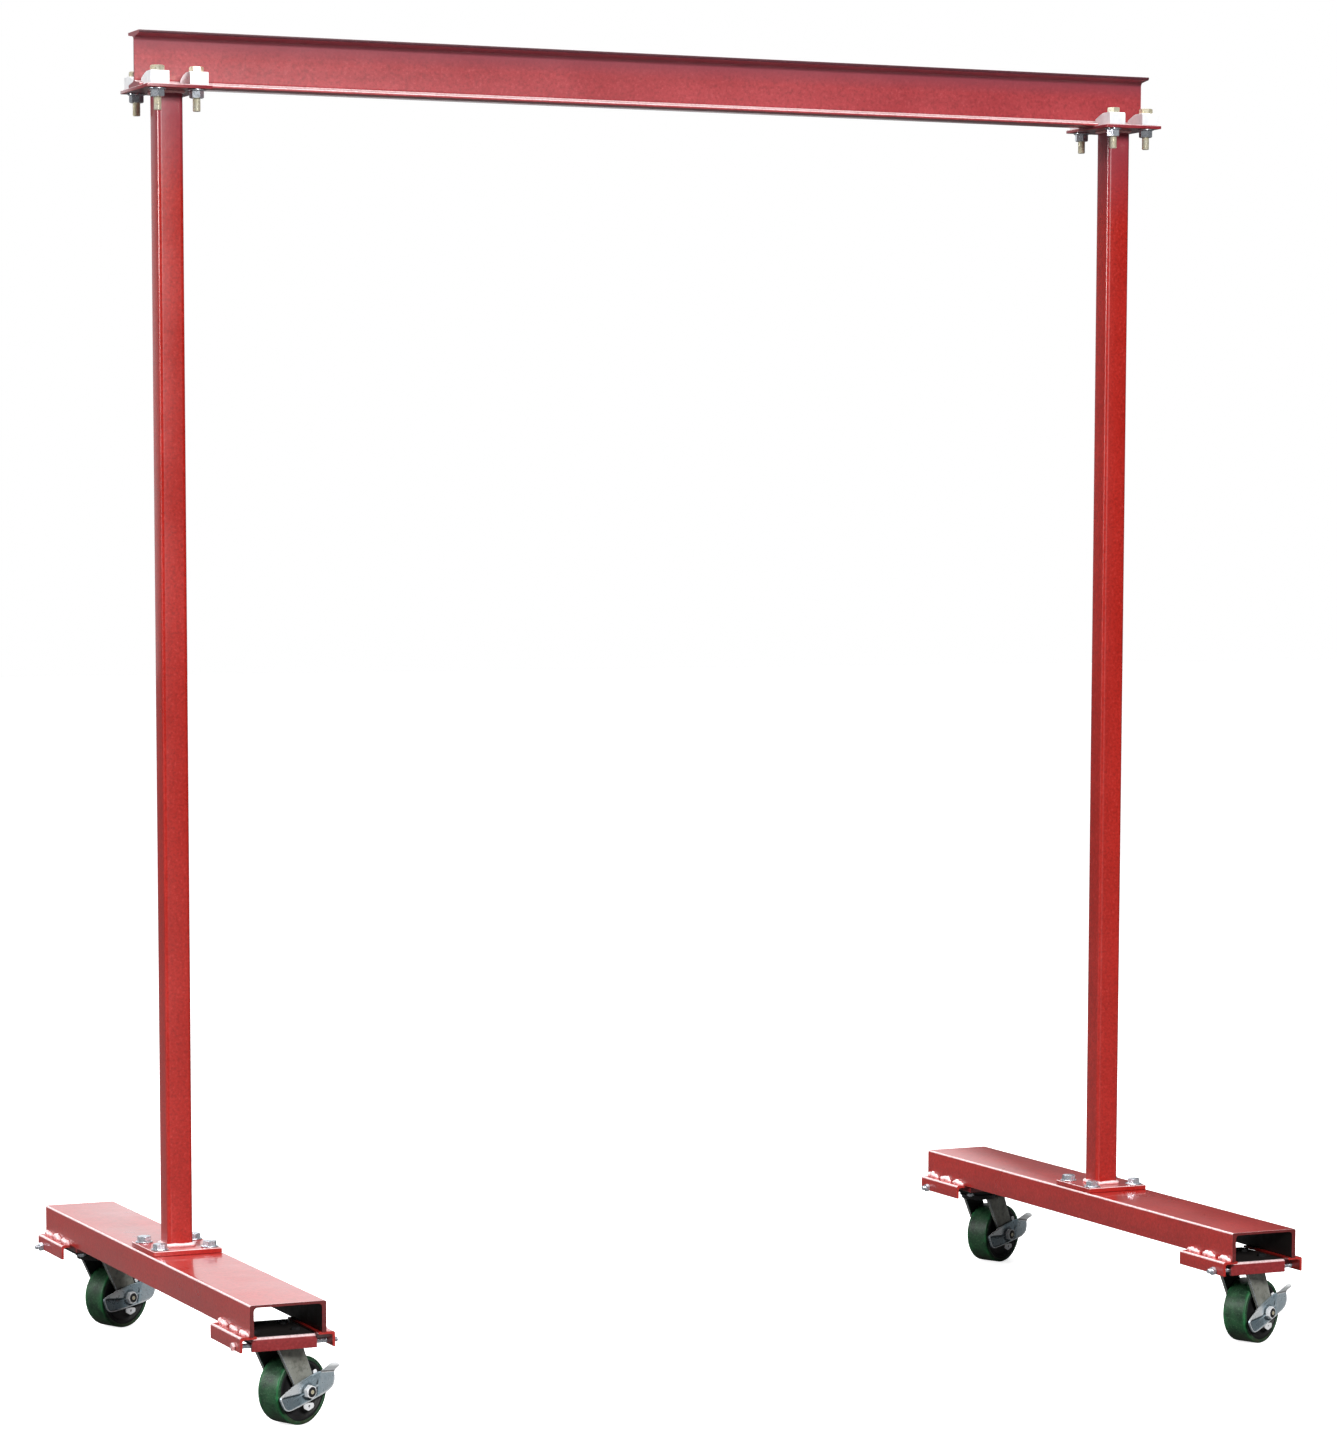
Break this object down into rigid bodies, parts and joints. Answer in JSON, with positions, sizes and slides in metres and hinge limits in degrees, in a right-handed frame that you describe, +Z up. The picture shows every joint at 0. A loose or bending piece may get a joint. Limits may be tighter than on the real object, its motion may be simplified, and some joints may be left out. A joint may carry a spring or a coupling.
{
  "type": "portable gantry crane",
  "caption": "Free-standing gantry with a lifting beam clamped on two square posts, each on a channel base with braked swivel casters.",
  "frame": {"origin": "on the floor under the middle of the beam", "axes": "+X along the beam, +Y across it towards the back, +Z up"},
  "size_m": [2.2789, 1.27, 2.54],
  "materials": {
    "red_enamel": "gloss red enamel over mill scale, thin at the edges",
    "zinc_plate": "bright bluish zinc plating",
    "yellow_zinc": "yellow chromate zinc plating on rolled threads",
    "grey_zinc": "dull grey zinc plating on pressed steel",
    "green_tread": "mottled dark green polyurethane",
    "black_core": "near-black painted casting"
  },
  "bodies": {
    "beam": {"runway_beam": "red_enamel"},
    "left_leg": {"post_left": "red_enamel", "head_plate_left": "red_enamel", "foot_plate_left": "red_enamel", "base_channel_left": "red_enamel", "clamp_block_left_front_a": "zinc_plate", "clamp_bolt_left_front_a": "yellow_zinc", "clamp_block_left_front_b": "zinc_plate", "clamp_bolt_left_front_b": "yellow_zinc", "clamp_block_left_back_a": "zinc_plate", "clamp_bolt_left_back_a": "yellow_zinc", "clamp_block_left_back_b": "zinc_plate", "clamp_bolt_left_back_b": "yellow_zinc", "caster_carrier_front_left": "red_enamel", "cross_bolt_front_left": "zinc_plate", "caster_plate_front_left": "grey_zinc", "caster_carrier_back_left": "red_enamel", "cross_bolt_back_left": "zinc_plate", "caster_plate_back_left": "grey_zinc"},
    "right_leg": {"post_right": "red_enamel", "head_plate_right": "red_enamel", "foot_plate_right": "red_enamel", "base_channel_right": "red_enamel", "clamp_block_right_front_a": "zinc_plate", "clamp_bolt_right_front_a": "yellow_zinc", "clamp_block_right_front_b": "zinc_plate", "clamp_bolt_right_front_b": "yellow_zinc", "clamp_block_right_back_a": "zinc_plate", "clamp_bolt_right_back_a": "yellow_zinc", "clamp_block_right_back_b": "zinc_plate", "clamp_bolt_right_back_b": "yellow_zinc", "caster_carrier_front_right": "red_enamel", "cross_bolt_front_right": "zinc_plate", "caster_plate_front_right": "grey_zinc", "caster_carrier_back_right": "red_enamel", "cross_bolt_back_right": "zinc_plate", "caster_plate_back_right": "grey_zinc"},
    "fork_front_left": {"caster_fork_front_left": "grey_zinc", "axle_bolt_front_left": "zinc_plate"},
    "wheel_front_left": {"wheel_core_front_left": "black_core", "wheel_tread_front_left": "green_tread"},
    "lever_front_left": {"brake_lever_front_left": "zinc_plate"},
    "fork_back_left": {"caster_fork_back_left": "grey_zinc", "axle_bolt_back_left": "zinc_plate"},
    "wheel_back_left": {"wheel_core_back_left": "black_core", "wheel_tread_back_left": "green_tread"},
    "lever_back_left": {"brake_lever_back_left": "zinc_plate"},
    "fork_front_right": {"caster_fork_front_right": "grey_zinc", "axle_bolt_front_right": "zinc_plate"},
    "wheel_front_right": {"wheel_core_front_right": "black_core", "wheel_tread_front_right": "green_tread"},
    "lever_front_right": {"brake_lever_front_right": "zinc_plate"},
    "fork_back_right": {"caster_fork_back_right": "grey_zinc", "axle_bolt_back_right": "zinc_plate"},
    "wheel_back_right": {"wheel_core_back_right": "black_core", "wheel_tread_back_right": "green_tread"},
    "lever_back_right": {"brake_lever_back_right": "zinc_plate"}
  },
  "joints": [
    {"name": "span_left", "type": "slide", "parent": "beam", "child": "left_leg", "axis": [1, 0, 0], "range_m": [0, 0.6]},
    {"name": "span_right", "type": "slide", "parent": "beam", "child": "right_leg", "axis": [-1, 0, 0], "range_m": [0, 0.6]},
    {"name": "swivel_front_left", "type": "hinge", "parent": "left_leg", "child": "fork_front_left", "pos_m": [-1.017, -0.5334, 0.155], "axis": [0, 0, 1], "continuous": true},
    {"name": "roll_front_left", "type": "hinge", "parent": "fork_front_left", "child": "wheel_front_left", "pos_m": [-0.96534, -0.50931, 0.0635], "axis": [-0.4226, 0.9063, 0], "continuous": true},
    {"name": "brake_front_left", "type": "hinge", "parent": "fork_front_left", "child": "lever_front_left", "pos_m": [-0.96534, -0.50931, 0.0635], "axis": [0.4226, -0.9063, 0], "range_deg": [-13, 13]},
    {"name": "swivel_back_left", "type": "hinge", "parent": "left_leg", "child": "fork_back_left", "pos_m": [-1.017, 0.5334, 0.155], "axis": [0, 0, 1], "continuous": true},
    {"name": "roll_back_left", "type": "hinge", "parent": "fork_back_left", "child": "wheel_back_left", "pos_m": [-0.96534, 0.55749, 0.0635], "axis": [-0.4226, 0.9063, 0], "continuous": true},
    {"name": "brake_back_left", "type": "hinge", "parent": "fork_back_left", "child": "lever_back_left", "pos_m": [-0.96534, 0.55749, 0.0635], "axis": [0.4226, -0.9063, 0], "range_deg": [-6, 20]},
    {"name": "swivel_front_right", "type": "hinge", "parent": "right_leg", "child": "fork_front_right", "pos_m": [1.017, -0.5334, 0.155], "axis": [0, 0, 1], "continuous": true},
    {"name": "roll_front_right", "type": "hinge", "parent": "fork_front_right", "child": "wheel_front_right", "pos_m": [1.06866, -0.50931, 0.0635], "axis": [-0.4226, 0.9063, 0], "continuous": true},
    {"name": "brake_front_right", "type": "hinge", "parent": "fork_front_right", "child": "lever_front_right", "pos_m": [1.06866, -0.50931, 0.0635], "axis": [0.4226, -0.9063, 0], "range_deg": [-18, 8]},
    {"name": "swivel_back_right", "type": "hinge", "parent": "right_leg", "child": "fork_back_right", "pos_m": [1.017, 0.5334, 0.155], "axis": [0, 0, 1], "continuous": true},
    {"name": "roll_back_right", "type": "hinge", "parent": "fork_back_right", "child": "wheel_back_right", "pos_m": [1.06866, 0.55749, 0.0635], "axis": [-0.4226, 0.9063, 0], "continuous": true},
    {"name": "brake_back_right", "type": "hinge", "parent": "fork_back_right", "child": "lever_back_right", "pos_m": [1.06866, 0.55749, 0.0635], "axis": [0.4226, -0.9063, 0], "range_deg": [-8, 18]}
  ]
}
